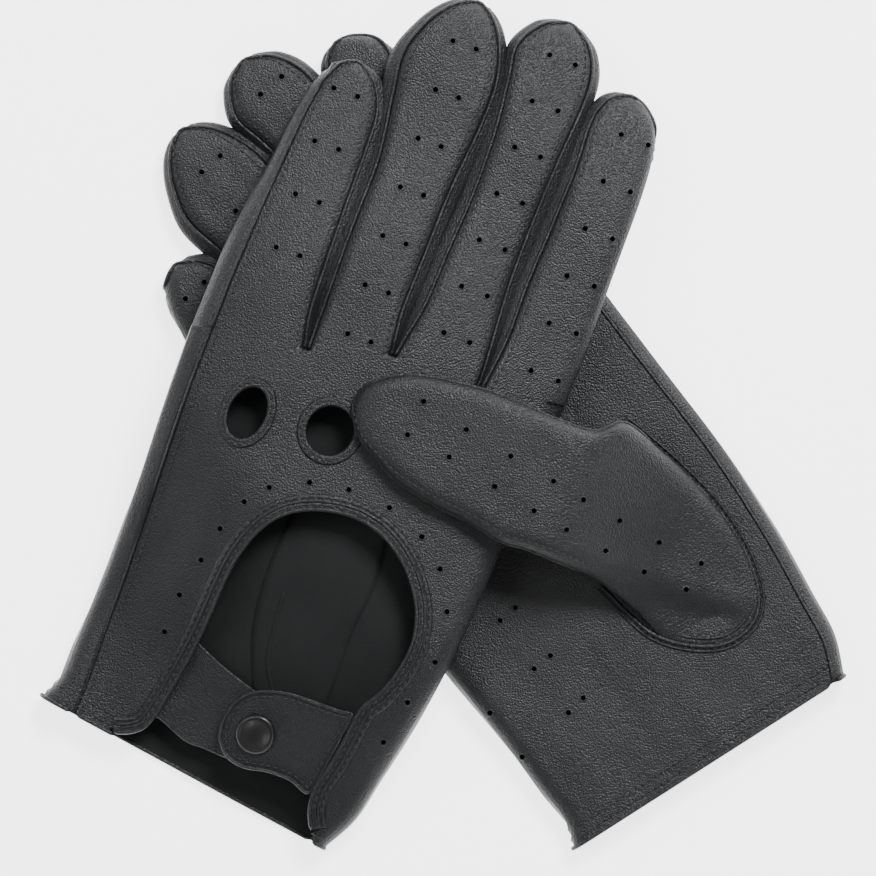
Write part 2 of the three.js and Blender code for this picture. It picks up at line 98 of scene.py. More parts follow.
HAND: list[Station] = [
    ((-43.5, 2.6), (43.5, -2.6), 1), ((-41.3, 9.5), (47.9, 8.0), 1), ((-41.6, 20.0), (49.6, 21.0), 1),
    ((-41.9, 36.0), (52.2, 37.0), 1), ((-43.1, 54.7), (54.2, 54.0), 1), ((-44.8, 72.0), (53.6, 73.0), 1),
    ((-46.5, 88.8), (52.7, 92.0), 1), ((-48.2, 101.5), (52.3, 113.0), 1),
    ((-49.2, 110.0), (51.6, 132.7), 1),
]
FINGERS: dict[str, list[Station]] = {
    "little": [
        ((-49.2, 110.0), (-18.2, 117.0), 1), ((-49.9, 125.0), (-19.8, 125.0), 1),
        ((-50.1, 140.0), (-21.6, 140.0), 1), ((-48.6, 157.0), (-23.4, 157.0), 1),
        ((-48.2, 172.0), (-24.8, 172.0), 0.98), ((-46.6, 183.0), (-26.2, 182.0), 0.93),
        ((-44.0, 189.2), (-29.6, 188.6), 0.8), ((-41.4, 192.0), (-33.4, 191.6), 0.55),
        ((-38.6, 192.9), (-36.6, 192.8), 0.2)],
    "ring": [
        ((-17.4, 117.0), (3.5, 125.3), 1), ((-18.7, 127.0), (3.2, 129.0), 1),
        ((-20.5, 139.0), (2.2, 139.0), 1), ((-21.9, 155.0), (1.3, 155.0), 1),
        ((-23.2, 172.0), (0.3, 172.0), 1), ((-27.0, 189.0), (0.4, 189.0), 0.98),
        ((-29.2, 200.0), (-0.4, 202.0), 0.95), ((-27.2, 209.5), (-3.0, 210.5), 0.88),
        ((-23.6, 216.2), (-6.6, 216.4), 0.75), ((-19.6, 220.0), (-10.4, 219.8), 0.5),
        ((-16.2, 221.3), (-13.8, 221.2), 0.2)],
    "middle": [
        ((4.2, 125.3), (28.2, 127.3), 1), ((4.5, 131.0), (28.0, 132.0), 1),
        ((4.9, 141.0), (27.1, 143.0), 1), ((4.3, 157.0), (25.2, 157.0), 1),
        ((3.9, 174.0), (23.9, 174.0), 1), ((2.1, 192.0), (23.2, 192.0), 0.98),
        ((-0.6, 206.0), (23.0, 208.0), 0.95), ((-2.4, 215.0), (21.6, 216.6), 0.88),
        ((1.2, 222.8), (18.0, 222.6), 0.72), ((5.8, 225.9), (13.4, 225.7), 0.48),
        ((8.6, 226.6), (10.8, 226.5), 0.2)],
    "index": [
        ((29.0, 127.3), (51.7, 132.5), 1), ((29.1, 134.0), (51.4, 138.0), 1),
        ((28.6, 144.0), (50.9, 149.0), 1), ((27.3, 158.0), (49.9, 160.0), 1),
        ((26.7, 175.0), (48.4, 175.0), 1), ((25.8, 192.0), (46.8, 192.0), 0.97),
        ((24.3, 205.0), (44.9, 204.0), 0.9), ((25.6, 211.6), (41.8, 211.0), 0.75),
        ((28.6, 214.8), (37.6, 214.6), 0.5), ((31.8, 215.9), (34.4, 215.8), 0.2)],
}
THUMB: list[Station] = [
    ((24.0, 22.6), (29.2, 22.4), 0.1), ((14.8, 28.0), (36.4, 27.3), 0.16),
    ((9.4, 34.6), (40.6, 38.0), 0.3), ((8.0, 44.0), (41.8, 50.0), 0.5),
    ((5.6, 53.6), (41.0, 62.5), 0.72), ((3.6, 59.4), (38.6, 75.0), 0.86),
    ((-1.6, 68.4), (35.2, 87.2), 0.95), ((-6.0, 75.4), (26.9, 90.6), 1),
    ((-10.5, 81.4), (20.4, 99.6), 1), ((-14.4, 90.6), (12.5, 113.0), 1),
    ((-19.7, 100.8), (6.0, 121.3), 0.98), ((-23.3, 110.4), (-0.6, 128.6), 0.95),
    ((-24.4, 118.0), (-5.6, 132.6), 0.9), ((-24.7, 125.1), (-10.2, 134.8), 0.8),
    ((-23.0, 130.8), (-14.2, 136.0), 0.6), ((-20.8, 134.2), (-16.8, 136.0), 0.3)]
MITTEN: list[Pt] = [
    (-43.5, 2.6), (-41.6, 20), (-43.1, 55), (-46.5, 89), (-50, 120), (-50, 150), (-47.5, 180),
    (-42, 192), (-36, 193), (-29, 203), (-22, 218), (-12, 221), (4, 227), (14, 227), (22, 218),
    (33, 216), (43, 210), (47, 190), (50, 155), (52, 120), (53.6, 73), (52, 37), (49, 15), (43.5, -2.6)]
TUBE: list[Station] = [
    ((14.8, 43.1), (40.5, 62.5), 0.9), ((9.0, 50.8), (38.3, 74.0), 1), ((3.5, 59.5), (35.0, 84.5), 1),
    ((-1.0, 67.5), (26.9, 90.4), 1), ((-8.0, 77.9), (20.2, 100.0), 1), ((-13.7, 89.5), (12.5, 113.0), 1),
    ((-19.7, 100.8), (6.0, 121.3), 0.97), ((-23.4, 111.0), (-1.0, 128.5), 0.92),
    ((-24.7, 121.0), (-7.0, 133.2), 0.8), ((-23.4, 130.0), (-13.2, 135.8), 0.54),
    ((-20.5, 134.2), (-17.2, 135.6), 0.26)]
GROOVE: list[Pt] = [
    (-33, -12), (-33.7, 8.4), (-34.4, 20), (-35.1, 37.6), (-37, 57.5), (-40, 80), (-42.4, 101.2),
    (-44.2, 124.2), (-44.9, 146.2), (-45.2, 172.5), (-44.6, 184), (-42, 191), (-40, 200)]
WINDOW: list[Pt] = [
    (-21.4, 1.6), (-16.8, 3.9), (-13.6, 8.4), (-11.8, 21.8), (-10.9, 36), (-11.1, 53.2), (-10.2, 62),
    (-7.6, 69.8), (-3.0, 75.6), (4.0, 79.6), (12.8, 81.6), (21.0, 80.6), (28.4, 77.0), (34.2, 71.8),
    (38.6, 65.4), (40.9, 58.1), (40.7, 49.6), (38.7, 42.0), (35.9, 36.2), (35.4, 27.2), (34.8, 19.4),
    (33.8, 11.2), (34.8, 5.2), (37.6, 0.4)]
THUMB_SEAM: list[Pt] = [
    (35.2, 88.2), (37.7, 78.7), (40, 68.1), (41.7, 56.8), (41.7, 45.2), (39.8, 34.8), (36.4, 27.3),
    (30.6, 23.1), (22.3, 23.2), (14.4, 28.3), (8.3, 36), (6, 44.3), (4.2, 55.7)]
RIDGE: list[Pt] = [(35.0, 20), (28.6, 28.7), (16.6, 45.1), (4.6, 61.5), (-10.6, 80.2)]
TONGUE_LEFT: list[Pt] = [
    (19.0, 12.0), (13.3, 21.4), (7.5, 29.1), (2.4, 40.1), (-0.4, 50.7), (-1.8, 62.0), (-2.0, 74.4),
    (-1.6, 84.0)]
TONGUE_RIGHT: list[Pt] = [
    (28.6, 12.0), (27.5, 26.5), (26.6, 35.0), (26.1, 42.3), (25.0, 53.6), (24.8, 66.9), (22.9, 78.0),
    (21.0, 86.0)]
STRAP_UNDER: list[Pt] = [
    (-16.5, 34.5), (-9.7, 33), (-2.1, 30.6), (7.9, 28.4), (18, 27.4), (22.4, 24), (23, 18), (22, 13),
    (17, 9.6), (9, 8.2), (2.5, 8), (-3.3, 7.7), (-11.9, 10.2), (-17.5, 11.4)]
STRAP_OVER: list[Pt] = [
    (35.2, 33.8), (30.4, 33.4), (25.2, 32.9), (16.7, 31.9), (10.4, 29.6), (6.6, 26.8), (4.4, 23),
    (3.6, 18.4), (4.0, 14.6), (5.6, 11.3), (9.2, 8.4), (14.5, 7.9), (20.7, 9.6), (27, 10.1), (33.4, 9.2),
    (34.6, 19.4), (35.1, 27.2)]
KNUCKLES: list[tuple[str, float, float, float, float]] = [
    ("little", -24.9, 95.0, 4.8, 7.1), ("ring", -2.8, 100.0, 6.2, 6.6), ("middle", 18.0, 105.6, 6.0, 6.2),
    ("index", 38.6, 105.0, 5.0, 6.2)]
BACK_HOLES: list[Pt] = [
    (-20.4, 32.2), (-20.9, 43), (-19.5, 54), (-18.4, 63.8), (-15.6, 73.1), (-11.1, 79.4), (-1.9, 85.2),
    (8.4, 87.9), (20.3, 88.1), (31.4, 84.7), (39.5, 78.9), (46, 69.4), (48.8, 55.8), (46.7, 42.9),
    (45.4, 30.4)]
PALM_HOLES: list[Pt] = [
    (-17.8, 64.3), (-23.2, 63.9), (-17.8, 48.3), (-23.4, 48), (-17.3, 33.9), (-22.9, 33), (-40, 45.4),
    (-39.9, 30.7), (-33.6, 74.8), (-44.3, 64.2)]
PAIRS: dict[str, tuple[Pt, Pt, float, int]] = {
    "little": ((-33.2, 138.7), (-37.4, 184.0), 6.8, 4), "ring": ((-6.2, 125.8), (-13.9, 209.0), 6.6, 7),
    "middle": ((17.4, 136.9), (11.6, 216.6), 7.4, 7), "index": ((43.0, 137.6), (38.2, 205.4), 7.8, 6)}
THUMB_HOLES: list[Pt] = [
    (-5.2, 123.6), (-13.9, 118.9), (-0.4, 110.8), (-8.4, 107.6), (5, 98.1), (-3.2, 94.1), (10.3, 86),
    (1.5, 82.7), (13.9, 77.3), (5.5, 73.5), (18.5, 67), (10.7, 62.7), (23.7, 55.9), (15.8, 51.9),
    (29.6, 44.6), (22.2, 41.3)]

CROTCH: dict[str, float] = {"little": 113.0, "ring": 121.0, "middle": 126.3, "index": 128.0}


class Face(Enum):
    """The two large panels of a glove."""
    BACK = 1
    PALM = -1


def smooth(a: float, b: float, x: float) -> float:
    """A soft step from 0 at a to 1 at b.

    Args:
        a: where the step starts.
        b: where it ends.
        x: the value.

    Returns:
        A share from 0 to 1.
    """
    t = min(1.0, max(0.0, (x - a) / (b - a)))
    return t * t * (3 - 2 * t)


def mix(a: float, b: float, t: float) -> float:
    """The value between a and b at share t."""
    return a + (b - a) * t


def along(x: float, y: float) -> float:
    """Distance of a point past the thumb's fold line, in millimetres."""
    return (x - PIVOT[0]) * WAY[0] + (y - PIVOT[1]) * WAY[1]


def outside(outline: Sequence[Pt], x: float, y: float) -> float:
    """How far a point lies outside a closed outline; 0 inside it.

    Args:
        outline: corner points.
        x: the point's x.
        y: the point's y.

    Returns:
        The distance in millimetres.
    """
    inside, best = False, 1e9
    for i, (ax, ay) in enumerate(outline):
        bx, by = outline[(i + 1) % len(outline)]
        if (ay > y) != (by > y) and x < (bx - ax) * (y - ay) / (by - ay) + ax:
            inside = not inside
        t = ((x - ax) * (bx - ax) + (y - ay) * (by - ay)) / ((bx - ax) ** 2 + (by - ay) ** 2)
        t = min(1.0, max(0.0, t))
        best = min(best, math.hypot(x - ax - t * (bx - ax), y - ay - t * (by - ay)))
    return 0.0 if inside else best


def at_height(line: Sequence[Pt], y: float) -> float:
    """The x of a border line at a height y.

    Args:
        line: points in order of y.
        y: the height.

    Returns:
        The x between the two nearest points.
    """
    ys = [p[1] for p in line]
    i = min(len(line) - 2, max(0, bisect.bisect(ys, y) - 1))
    (ax, ay), (bx, by) = line[i], line[i + 1]
    return mix(ax, bx, min(1.0, max(0.0, (y - ay) / (by - ay))))


def spline(p: Sequence[Sequence[float]], f: float) -> list[float]:
    """A point of the smooth curve between the second and third of four points.

    Args:
        p: four points.
        f: share of the way from the second to the third.

    Returns:
        The coordinates of the point.
    """
    return [0.5 * (2 * b + (c - a) * f + (2 * a - 5 * b + 4 * c - d) * f * f
                   + (3 * b - a - 3 * c + d) * f ** 3) for a, b, c, d in zip(*p)]


def catmull(points: Sequence[Sequence[float]], t: float) -> list[float]:
    """A smooth curve through points, at t from 0 to their count less 1.

    Args:
        points: points of equal length.
        t: place along the curve.

    Returns:
        The coordinates there.
    """
    i = min(len(points) - 2, int(t))
    near = [points[max(0, i - 1)], points[i], points[i + 1], points[min(len(points) - 1, i + 2)]]
    return spline(near, t - i)


def rounded(outline: Sequence[Pt], step: float = 1.6, closed: bool = True) -> list[Pt]:
    """An outline through the same points as a smooth curve with even steps.

    Args:
        outline: corner points.
        step: distance between the points that come back.
        closed: whether the last point joins the first.

    Returns:
        The points of the smooth curve.
    """
    n = len(outline)
    pts: list[Pt] = []
    for i in range(n if closed else n - 1):
        p = [outline[(i + k) % n] if closed else outline[min(n - 1, max(0, i + k))] for k in (-1, 0, 1, 2)]
        count = max(1, round(math.dist(p[1], p[2]) / step))
        pts += [tuple(spline(p, j / count)) for j in range(count)]
    return pts if closed else pts + [outline[-1]]


def grown(outline: Sequence[Pt], by: float) -> list[Pt]:
    """A closed outline moved outwards by a distance.

    Args:
        outline: corner points.
        by: distance in millimetres.

    Returns:
        The moved points.
    """
    n = len(outline)
    pairs = [(outline[i], outline[(i + 1) % n]) for i in range(n)]
    area = sum(a[0] * b[1] - b[0] * a[1] for a, b in pairs)
    side = math.copysign(1, area)
    out = []
    for i, (x, y) in enumerate(outline):
        (px, py), (nx, ny) = outline[i - 1], outline[(i + 1) % n]
        d = math.hypot(nx - px, ny - py)
        out.append((x + side * by * (ny - py) / d, y - side * by * (nx - px) / d))
    return out


def profile(d: float, r: float) -> float:
    """Share of the half thickness at distance d inside a rounded edge."""
    q = 1 - min(1.0, max(0.0, d / r))
    return math.sqrt(max(0.0, 1 - q * q))


def relief(x: float, y: float, seed: float) -> float:
    """Soft unevenness and lengthwise folds of worn leather, in millimetres.

    Args:
        x: across the glove.
        y: along the glove.
        seed: which pattern.

    Returns:
        The height of the leather there.
    """
    soft = noise.noise(Vector((x / 19, y / 26, seed))) * 0.55
    fold = noise.noise(Vector((x / 7, y / 30, seed + 7))) * 0.22
    return soft + fold


@dataclass(frozen=True)
class Glove:
    """Where one glove lies and how its own coordinates become the row frame's."""
    side: str
    x: float
    y: float
    turn: float
    drapes: bool
    drop: float
    seed: float

    def height(self, x: float, y: float) -> float:
        """Height of the glove's lower side above the floor.

        Args:
            x: across the glove.
            y: along the glove.

        Returns:
            The height in millimetres.
        """
        if not self.drapes:
            return 0.0
        other = RIGHT
        c, s = math.cos(self.turn), math.sin(self.turn)
        wx, wy = x * c - y * s + self.x - other.x, x * s + y * c + self.y - other.y
        rc, rs = math.cos(other.turn), math.sin(other.turn)
        on = outside(MITTEN, wx * rc + wy * rs, wy * rc - wx * rs)
        thumb = outside([p[0] for p in TUBE] + [p[1] for p in reversed(TUBE)], x, y)
        over_glove = (THICKNESS + 0.5) * (1 - smooth(1.5, FALL, on))
        return over_glove + THUMB_BED * (1 - smooth(1, THUMB_FALL, thumb))

    def place(self, p: Sequence[float]) -> Vector:
        """A point of the glove in the row frame, in metres.

        Args:
            p: a point of the flat glove, in millimetres.

        Returns:
            The point in the frame, in metres.
        """
        c, s = math.cos(self.turn), math.sin(self.turn)
        z = p[2] + self.height(p[0], p[1]) if self.drapes else max(FLOOR_GAP, THICKNESS - p[2])
        x = p[0] * c - p[1] * s + self.x + SHIFT[0]
        y = p[0] * s + p[1] * c + self.y + SHIFT[1]
        return Vector((x, y, z)) * MM


RIGHT = Glove("right", 72.1, -88.0, math.radians(36), False, DROP, 3.1)
LEFT = Glove("left", -69.5, -90.7, math.radians(-25), True, 0.0, 11.7)


class Shader:
    """A node material under construction, with sums written as Python sums."""

    def __init__(self, name: str) -> None:
        """Starts an empty material with a Principled shader.

        Args:
            name: the material's name.
        """
        self.material = bpy.data.materials.new(name)
        self.material.use_nodes = True
        self.tree = self.material.node_tree
        self.bsdf = self.tree.nodes["Principled BSDF"]
        self.coords = self.tree.nodes.new("ShaderNodeTexCoord").outputs["Object"]

    def node(self, kind: str, out: int | str = 0, props: dict | None = None, **inputs: object) -> "Value":
        """Adds any node and gives one of its outputs.

        Args:
            kind: the node's type.
            out: which output to give.
            props: settings of the node.
            inputs: values or links, by socket name or number.

        Returns:
            The chosen output.
        """
        n = self.tree.nodes.new(kind)
        for key, value in (props or {}).items():
            setattr(n, key, value)
        for key, value in inputs.items():
            numbered = key[0] == "i" and key[1:].isdigit()
            self.put(n.inputs[int(key[1:]) if numbered else key.replace("_", " ")], value)
        return Value(self, n.outputs[out])

    def put(self, socket: object, value: object) -> None:
        """Links a value to a socket, or sets it.

        Args:
            socket: the input.
            value: a number, a colour or an output.
        """
        if isinstance(value, Value):
            self.tree.links.new(value.socket, socket)
        elif isinstance(value, bpy.types.NodeSocket):
            self.tree.links.new(value, socket)
        else:
            socket.default_value = value

    def noise(self, scale: float, detail: float = 3.0) -> "Value":
        """A noise pattern with so many cells in a metre."""
        return self.node("ShaderNodeTexNoise", "Fac", Vector=self.coords, Scale=scale, Detail=detail)

    def cells(self, scale: float, feature: str = "F1") -> "Value":
        """Distances of a cell pattern."""
        return self.node("ShaderNodeTexVoronoi", "Distance", {"feature": feature}, Vector=self.coords,
                         Scale=scale)

    def ramp(self, value: "Value", dark: Sequence[float], light: Sequence[float]) -> "Value":
        """A colour between dark and light."""
        return self.node("ShaderNodeMix", 2, {"data_type": "RGBA"}, i0=value, i6=(*dark, 1), i7=(*light, 1))

    def finish(self, colour: "Value", rough: "Value", height: "Value", distance: float,
               strength: float) -> bpy.types.Material:
        """Connects colour, roughness and bump.

        Args:
            colour: base colour.
            rough: roughness.
            height: pattern of the bump.
            distance: depth of the bump, in metres.
            strength: strength of the bump.

        Returns:
            The finished material.
        """
        self.put(self.bsdf.inputs["Base Color"], colour)
        self.put(self.bsdf.inputs["Roughness"], rough)
        bump = self.node("ShaderNodeBump", "Normal", Height=height, Distance=distance, Strength=strength)
        self.put(self.bsdf.inputs["Normal"], bump)
        return self.material


@dataclass
class Value:
    """A node's output that can be added and multiplied."""
    shader: Shader
    socket: object

    def math(self, op: str, other: object) -> "Value":
        """One Math node on this value."""
        return self.shader.node("ShaderNodeMath", 0, {"operation": op, "use_clamp": False}, i0=self,
                                i1=other)

    def __add__(self, other: object) -> "Value":
        """The sum of two values."""
        return self.math("ADD", other)

    def __mul__(self, other: object) -> "Value":
        """The product of two values."""
        return self.math("MULTIPLY", other)

    def __sub__(self, other: object) -> "Value":
        """The difference of two values."""
        return self.math("SUBTRACT", other)


@dataclass(frozen=True)
class LeatherFinish:
    """Grain leather with fine pebbles and a soft sheen."""
    dark: tuple[float, float, float] = (0.0032, 0.0034, 0.0041)
    light: tuple[float, float, float] = (0.0100, 0.0106, 0.0126)
    rough: float = 0.40

    def build(self, name: str) -> bpy.types.Material:
        """Makes the material.

        Args:
            name: the material's name.

        Returns:
            The material.
        """
        s = Shader(name)
        s.bsdf.inputs["Specular IOR Level"].default_value = 0.40
        pebble = s.cells(2050.0)
        fine = s.noise(3600.0, 2.0)
        patch = s.noise(45.0, 4.0)
        colour = s.ramp(patch * 0.6 + (pebble * 0.55), self.dark, self.light)
        rough = (patch * 0.16) + (fine * 0.12) + (self.rough - 0.13)
        return s.finish(colour, rough, (pebble * -0.7) + (fine * 0.4), 0.00030, 0.85)


@dataclass(frozen=True)
class SuedeFinish:
    """The matt inner side of the leather."""
    dark: tuple[float, float, float] = (0.0050, 0.0054, 0.0056)
    light: tuple[float, float, float] = (0.0170, 0.0182, 0.0185)

    def build(self, name: str) -> bpy.types.Material:
        """Makes the material.

        Args:
            name: the material's name.

        Returns:
            The material.
        """
        s = Shader(name)
        s.bsdf.inputs["Specular IOR Level"].default_value = 0.2
        nap = s.noise(1500.0, 5.0)
        patch = s.noise(60.0, 3.0)
        colour = s.ramp(patch * 0.7 + nap * 0.3, self.dark, self.light)
        return s.finish(colour, nap * 0.1 + 0.85, nap, 0.0003, 0.5)


@dataclass(frozen=True)
class SolidFinish:
    """Thread, lacquer or metal."""
    colour: tuple[float, float, float]
    rough: float
    metal: float
    coat: float = 0.0
    shine: float = 0.5

    def build(self, name: str) -> bpy.types.Material:
        """Makes the material.

        Args:
            name: the material's name.

        Returns:
            The material.
        """
        s = Shader(name)
        s.bsdf.inputs["Metallic"].default_value = self.metal
        s.bsdf.inputs["Coat Weight"].default_value = self.coat
        s.bsdf.inputs["Specular IOR Level"].default_value = self.shine
        n = s.noise(900.0, 3.0)
        light = tuple(c * 1.35 for c in self.colour)
        return s.finish(s.ramp(n, self.colour, light), n * 0.1 + (self.rough - 0.05), n, 0.00004, 0.3)


FINISHES = {
    "leather": LeatherFinish(),
    "suede": SuedeFinish(),
    "lacquer": SolidFinish((0.0032, 0.0032, 0.0036), 0.42, 0.0, 0.1),
    # painted shade: a near-black flat finish for the discs that stand in for the shade inside the punched
    # holes
    "hole_shade": SolidFinish((0.0006, 0.0006, 0.0007), 0.9, 0.0, shine=0.0),
    "metal": SolidFinish((0.20, 0.20, 0.21), 0.35, 1.0),
    "thread": SolidFinish((0.016, 0.0165, 0.019), 0.65, 0.0, shine=0.35),
}
MATERIALS: dict[str, bpy.types.Material] = {}


def publish(bm: bmesh.types.BMesh, name: str, glove: Glove, finish: str, body: str,
            nodes: Iterable[str] = (),
            thick: float = 0.0, blend: tuple | None = None) -> bpy.types.Object:
    """Turns a mesh in a glove's own millimetres into a piece of the scene.

    Args:
        bm: the mesh.
        name: the piece's name.
        glove: the glove that it belongs to.
        finish: key of its finish.
        body: the body that it moves with.
        nodes: the nodes that it stands for.
        thick: thickness to give a sheet, in millimetres.
        blend: two bodies and two points of a fold; its contents are not used, and when it is given the
            piece keeps its place without a body.

    Returns:
        The new object.
    """
    for v in bm.verts:
        v.co = glove.place(v.co)
    bmesh.ops.recalc_face_normals(bm, faces=bm.faces)
    if thick:
        up = sum(f.normal.z * f.calc_area() for f in bm.faces)
        wanted = -1 if "palm" in name else 1
        if not glove.drapes:
            wanted = -wanted
        if up * wanted < 0:
            bmesh.ops.reverse_faces(bm, faces=bm.faces)
    for f in bm.faces:
        f.smooth = True
    mesh = bpy.data.meshes.new(name)
    bm.to_mesh(mesh)
    bm.free()
    obj = bpy.data.objects.new(name, mesh)
    bpy.context.scene.collection.objects.link(obj)
    mesh.materials.append(MATERIALS[finish])
    if thick:
        mesh.materials.append(MATERIALS["suede"])
        mod = obj.modifiers.new("thickness", "SOLIDIFY")
        mod.thickness = thick * MM
        mod.offset = -1
        mod.material_offset = 1
        mod.material_offset_rim = 0
    if blend:
        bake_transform(obj)
    else:
        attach(obj, body)
    if nodes:
        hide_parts(*nodes)
    return obj


def grid(bm: bmesh.types.BMesh, rows: Sequence[Sequence[bmesh.types.BMVert]], closed: bool = False) -> None:
    """Fills faces between rows of vertices.

    Args:
        bm: the mesh.
        rows: vertices, row by row.
        closed: whether each row joins round.
    """
    for a, b in zip(rows, rows[1:]):
        n = len(a)
        for i in range(n if closed else n - 1):
            j = (i + 1) % n
            quad = list(dict.fromkeys((a[i], a[j], b[j], b[i])))
            if len(quad) > 2:
                bm.faces.new(quad)


def add_tube(bm: bmesh.types.BMesh, points: Sequence[Vector], radius: float, sides: int = 8) -> None:
    """Adds a round cord along points, with closed ends.

    Args:
        bm: the mesh.
        points: the cord's middle line.
        radius: in millimetres.
        sides: faces round the cord.
    """
    rows = []
    for i, p in enumerate(points):
        d = (points[min(i + 1, len(points) - 1)] - points[max(i - 1, 0)]).normalized()
        side = d.cross(Vector((0, 0, 1)))
        side = side.normalized() if side.length > 1e-4 else Vector((1, 0, 0))
        up = side.cross(d)
        r = radius * (0.35 if i in (0, len(points) - 1) else 1)
        turns = [2 * math.pi * k / sides for k in range(sides)]
        rows.append([bm.verts.new(p + side * r * math.cos(a) + up * r * math.sin(a)) for a in turns])
    grid(bm, rows, True)
    bm.faces.new(rows[0])
    bm.faces.new(rows[-1])


def add_stitches(bm: bmesh.types.BMesh, points: Sequence[Vector], pitch: float = STITCH_PITCH) -> None:
    """Adds short thread stitches along a line.

    Args:
        bm: the mesh.
        points: the stitch line.
        pitch: length of one stitch and its gap.
    """
    travelled, target = 0.0, pitch / 2
    for a, b in zip(points, points[1:]):
        length = (b - a).length
        while length > 0 and travelled + length >= target:
            mid = a.lerp(b, (target - travelled) / length)
            d = (b - a) / length
            side = Vector((-d.y, d.x, 0))
            side = side.normalized() if side.length > 1e-4 else Vector((1, 0, 0))
            up = d.cross(side) if d.cross(side).z > 0 else side.cross(d)
            rows = []
            for t, r in ((-0.62, 0.08), (-0.35, 0.23), (0.35, 0.23), (0.62, 0.08)):
                rows.append([bm.verts.new(mid + d * t + side * r * math.cos(k * math.pi / 3) * 1.1
                                          + up * r * math.sin(k * math.pi / 3)) for k in range(6)])
            grid(bm, rows, True)
            bm.faces.new(rows[0])
            bm.faces.new(rows[-1])
            target += pitch
        travelled += length


@dataclass
class Panel:
    """The back or the palm leather of a glove, with its four finger strips."""
    glove: Glove
    face: Face
    bm: bmesh.types.BMesh = field(default_factory=bmesh.new)
    seams: dict[str, list[Vector]] = field(default_factory=dict)
    inner: dict[str, list[Vector]] = field(default_factory=dict)

    def reach(self, name: str, y: float, left_x: float, width: float) -> tuple[float, float]:
        """Where the leather starts and ends across a section, past the edges where it turns round them.

        Args:
            name: hand, or the finger's name.
            y: height of the section.
            left_x: its left end.
            width: its width.

        Returns:
            The first and last distance from the left edge.
        """
        wrap = max(0.6, at_height(GROOVE, y) - left_x)
        inset = SEAM if name == "hand" else mix(0.2, SEAM, smooth(0, 18, y - CROTCH[name]))
        low, high = inset, width - inset
        fade = 1 - smooth(186, 193, y)
        if name in ("hand", "little"):
            low = mix(SEAM, wrap if self.face is Face.BACK else -wrap, fade)
        if name in ("hand", "index"):
            turn = CREASE * (1 - smooth(200, 212, y))
            high = width + turn if self.face is Face.BACK else width - turn
        return low, high

    def point(self, left: Sequence[float], right: Sequence[float], share: float, a: float,
              name: str = "hand") -> tuple[float, float, float]:
        """The point of a section at the unrolled distance a from its left edge.

        Args:
            left: left end of the section.
            right: right end.
            share: share of the full thickness.
            a: unrolled distance from the left end.
            name: hand, or the finger's name.

        Returns:
            The x and y and the height over the middle plane.
        """
        width = math.dist(left, right)
        r = min(THICKNESS / 2 * 1.25, width / 2.1)
        x, sign = (a, 1) if 0 <= a <= width else ((-a, -1) if a < 0 else (2 * width - a, -1))
        open_side = (name == "little" and x < width / 2) or (name == "index" and x > width / 2)
        if name != "hand" and not open_side:
            base_l, base_r, _ = FINGERS[name][0]
            above = mix(left[1], right[1], x / width) - mix(base_l[1], base_r[1], x / width)
            r *= mix(0.22, 1.0, smooth(-1, 24, above))
        z = sign * profile(min(x, width - x), r) * share * THICKNESS / 2
        return mix(left[0], right[0], x / width), mix(left[1], right[1], x / width), z

    def build(self) -> "Panel":
        """Makes the vertices and faces of the hand and the fingers."""
        names, n, rows_hand = list(FINGERS), COLUMNS, 84
        rows: list[list[bmesh.types.BMVert]] = []
        total = len(names) * (n + 1)
        for r in range(rows_hand + 1):
            v = r / rows_hand
            q = catmull([(*s[0], *s[1]) for s in HAND], v * (len(HAND) - 1))
            left, right = q[:2], q[2:]
            width = math.dist(left, right)
            low, high = self.reach("hand", (left[1] + right[1]) / 2, left[0], width)
            row = []
            for c in range(total):
                k, j = divmod(c, n + 1)
                base_l, base_r, _ = FINGERS[names[k]][0]
                fw = math.dist(base_l, base_r)
                fl, fh = self.reach(names[k], base_l[1], base_l[0], fw)
                even = low + (high - low) * c / (total - 1)
                x, y, z = self.point(left, right, 1, even)
                tx, ty, tz = self.point(base_l, base_r, 1, fl + (fh - fl) * j / n, names[k])
                w = smooth(0.15, 1.0, v)
                dip = smooth(0.9, 1.0, v)
                row.append(self.vert(mix(x, tx, w), mix(y, ty, w ** 1.6), mix(z, tz, dip)))
            rows.append(row)
        grid(self.bm, rows)
        self.seams["left"] = [r[0].co.copy() for r in rows]
        self.seams["right"] = [r[-1].co.copy() for r in rows]
        self.seams["hem"] = [v.co.copy() for v in rows[0]]
        self.inner["left"] = [r[2].co.copy() for r in rows]
        self.inner["hem"] = [rows[2][i].co.copy() for i in range(total)]
        last = rows[-1]
        for k, name in enumerate(names):
            stations = FINGERS[name]
            count = 66
            lines = [last[k * (n + 1):(k + 1) * (n + 1)]]
            for r in range(1, count + 1):
                t = (1 - (1 - r / count) ** 1.35) * (len(stations) - 1)
                q = catmull([(*s[0], *s[1], s[2]) for s in stations], t)
                left, right, share = q[:2], q[2:4], max(0.05, min(1.0, q[4]))
                width = math.dist(left, right)
                low, high = self.reach(name, left[1], left[0], width)
                lim = width * 0.2
                low = max(-lim, min(lim, low)) if width < 16 else low
                high = min(width + lim, max(width - lim, high)) if width < 16 else high
                places = [low + (high - low) * j / n for j in range(n + 1)]
                lines.append([self.vert(*self.point(left, right, share, a, name)) for a in places])
            grid(self.bm, lines)
            self.seams[name] = ([x[0].co.copy() for x in lines] + [x.co.copy() for x in lines[-1][1:-1]]
                                + [x[-1].co.copy() for x in reversed(lines)])
            self.inner[name] = ([x[2].co.copy() for x in lines[:-5]]
                                + [x.co.copy() for x in lines[-5][3:-3]]
                                + [x[-3].co.copy() for x in reversed(lines[:-5])])
        return self

    def vert(self, x: float, y: float, z: float) -> bmesh.types.BMVert:
        """Adds a vertex at a height over the glove's middle plane."""
        side = self.face.value
        bump = relief(x, y, self.glove.seed) * smooth(0.4, 4.0, abs(z))
        return self.bm.verts.new((x, y, THICKNESS / 2 + side * (z + bump)))

